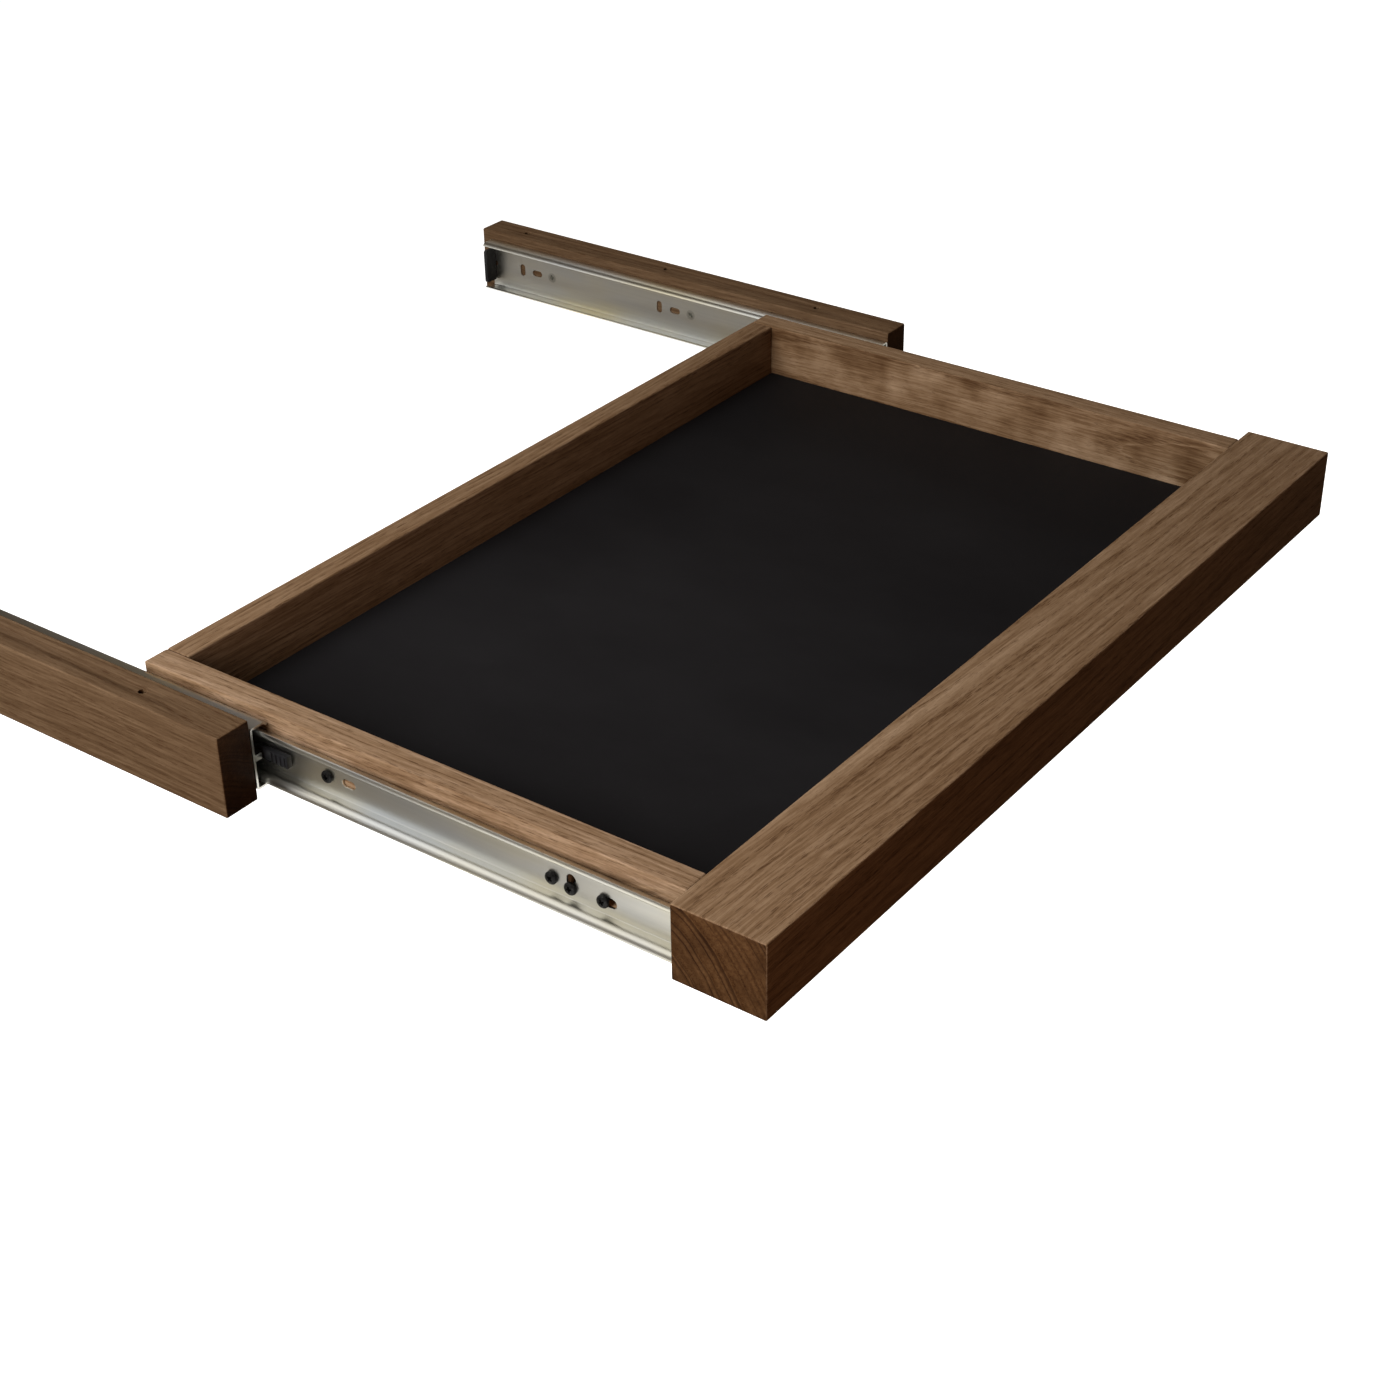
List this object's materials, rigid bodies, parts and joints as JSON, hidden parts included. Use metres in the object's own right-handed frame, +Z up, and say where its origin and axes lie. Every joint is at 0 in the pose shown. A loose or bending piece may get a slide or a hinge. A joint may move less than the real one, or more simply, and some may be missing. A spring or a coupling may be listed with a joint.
{
  "type": "under desk drawer",
  "caption": "Shallow wooden drawer with a plain bar front and lined floor, on side-mounted ball-bearing slides, hung under a desktop from two wooden bearers.",
  "frame": {"origin": "middle of the width, on the underside of the desktop, in line with the front face of the closed drawer", "axes": "+X to the right of someone pulling the drawer seen from above the desk towards +Y, +Y into the desk, +Z up"},
  "size_m": [0.6446, 0.677, 0.048],
  "materials": {
    "stained_oak": "solid oak, smoked brown stain under matt oil, open pores",
    "bearer_oak": "solid oak, the same stain, sawn faces",
    "stained_plywood": "stained plywood, matt",
    "black_linoleum": "smooth matt black furniture linoleum",
    "zinc_steel": "bright zinc-plated rolled steel",
    "cage_steel": "zinc-plated thin steel with bearing balls",
    "black_screw": "black zinc, satin",
    "zinc_screw": "zinc-plated steel",
    "lever_plastic": "moulded black plastic, fine grain",
    "bumper_rubber": "matt black rubber",
    "beech_dowel": "plain beech"
  },
  "bodies": {
    "desk_mounting": {"bearer_left": "bearer_oak", "bearer_right": "bearer_oak", "cabinet_member_left": "zinc_steel", "cabinet_member_right": "zinc_steel", "cabinet_screw_1_left": "zinc_screw", "cabinet_screw_1_right": "zinc_screw", "cabinet_screw_2_left": "zinc_screw", "cabinet_screw_2_right": "zinc_screw", "cabinet_screw_3_left": "zinc_screw", "cabinet_screw_3_right": "zinc_screw", "rear_bumper_left": "bumper_rubber", "rear_bumper_right": "bumper_rubber"},
    "retainer_left": {"ball_retainer_left": "cage_steel"},
    "retainer_right": {"ball_retainer_right": "cage_steel"},
    "drawer": {"back_dowel_lower_left": "beech_dowel", "back_dowel_lower_right": "beech_dowel", "back_dowel_upper_left": "beech_dowel", "back_dowel_upper_right": "beech_dowel", "back_rail": "stained_oak", "bottom_panel": "stained_plywood", "drawer_member_left": "zinc_steel", "drawer_member_right": "zinc_steel", "floor_liner": "black_linoleum", "front_bar": "stained_oak", "front_dowel_lower_left": "beech_dowel", "front_dowel_lower_right": "beech_dowel", "front_dowel_upper_left": "beech_dowel", "front_dowel_upper_right": "beech_dowel", "lever_rivet_left": "zinc_screw", "lever_rivet_right": "zinc_screw", "panel_screw_back_left": "zinc_screw", "panel_screw_back_middle": "zinc_screw", "panel_screw_back_right": "zinc_screw", "panel_screw_front_left": "zinc_screw", "panel_screw_front_middle": "zinc_screw", "panel_screw_front_right": "zinc_screw", "panel_screw_left_front": "zinc_screw", "panel_screw_left_rear": "zinc_screw", "panel_screw_right_front": "zinc_screw", "panel_screw_right_rear": "zinc_screw", "side_left": "stained_oak", "side_right": "stained_oak", "slide_screw_front_left": "black_screw", "slide_screw_front_right": "black_screw", "slide_screw_inner_left": "black_screw", "slide_screw_inner_right": "black_screw", "slide_screw_middle_left": "black_screw", "slide_screw_middle_right": "black_screw", "slide_screw_rear_left": "black_screw", "slide_screw_rear_right": "black_screw"},
    "lever_left": {"disconnect_lever_left": "lever_plastic"},
    "lever_right": {"disconnect_lever_right": "lever_plastic"}
  },
  "joints": [
    {"name": "drawer_slide", "type": "slide", "parent": "desk_mounting", "child": "drawer", "axis": [0, 1, 0], "range_m": [0, 0.262]},
    {"name": "retainer_left_roll", "type": "slide", "parent": "desk_mounting", "child": "retainer_left", "axis": [0, 1, 0], "range_m": [0, 0.131]},
    {"name": "retainer_right_roll", "type": "slide", "parent": "desk_mounting", "child": "retainer_right", "axis": [0, 1, 0], "range_m": [0, 0.131]},
    {"name": "lever_left_pivot", "type": "hinge", "parent": "drawer", "child": "lever_left", "pos_m": [-0.29, 0.105, -0.0243], "axis": [-1, 0, 0], "range_deg": [0, 4.5], "stiffness_Nm_per_rad": 0.1, "springref_deg": -5.73},
    {"name": "lever_right_pivot", "type": "hinge", "parent": "drawer", "child": "lever_right", "pos_m": [0.29, 0.105, -0.0243], "axis": [1, 0, 0], "range_deg": [0, 4.5], "stiffness_Nm_per_rad": 0.1, "springref_deg": -5.73}
  ],
  "couplings": [
    {"joint": "retainer_left_roll", "follows": "drawer_slide", "ratio": 0.5},
    {"joint": "retainer_right_roll", "follows": "drawer_slide", "ratio": 0.5}
  ]
}
